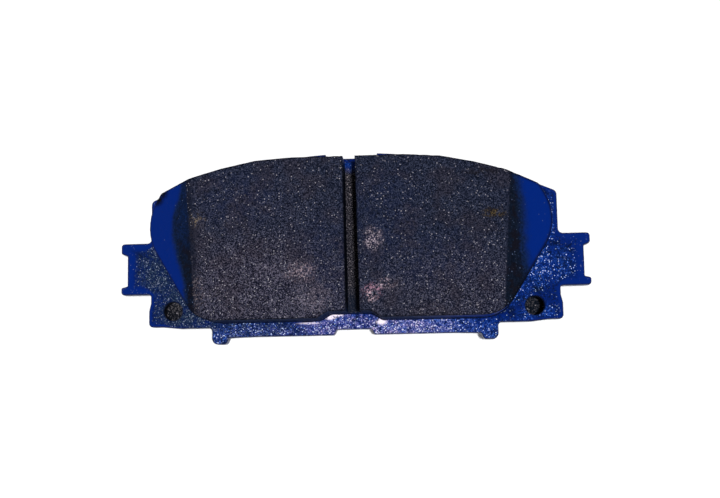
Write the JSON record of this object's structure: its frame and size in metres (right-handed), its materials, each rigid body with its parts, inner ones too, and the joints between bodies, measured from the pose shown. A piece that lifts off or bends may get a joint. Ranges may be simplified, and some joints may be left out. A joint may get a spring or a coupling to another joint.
{
  "type": "disc brake pad",
  "caption": "Bonded disc brake pad: crowned steel plate with forked ears and feet, slotted lining with end chamfers, and a noise shim.",
  "frame": {"origin": "middle of the pad's outline, on the outer face of the noise shim, on which the pad lies", "axes": "+X along the ears towards the right ear seen from the lining, +Y towards the crowned edge, +Z out of the friction face towards the disc"},
  "size_m": [0.122, 0.0492, 0.0164],
  "materials": {
    "plate_powder_coat": "satin",
    "bond_resin": "matte",
    "underlayer_compound": "matte",
    "friction_compound": "matte",
    "shim_adhesive": "matte",
    "shim_rubber": "matte",
    "shim_steel": "satin"
  },
  "bodies": {
    "root": {"backing_plate": "plate_powder_coat", "bond_film": "bond_resin", "underlayer": "underlayer_compound", "friction_block_left": "friction_compound", "friction_block_right": "friction_compound", "shim_adhesive": "shim_adhesive", "shim_inner_rubber": "shim_rubber", "shim_core": "shim_steel", "shim_outer_rubber": "shim_rubber"}
  },
  "joints": []
}
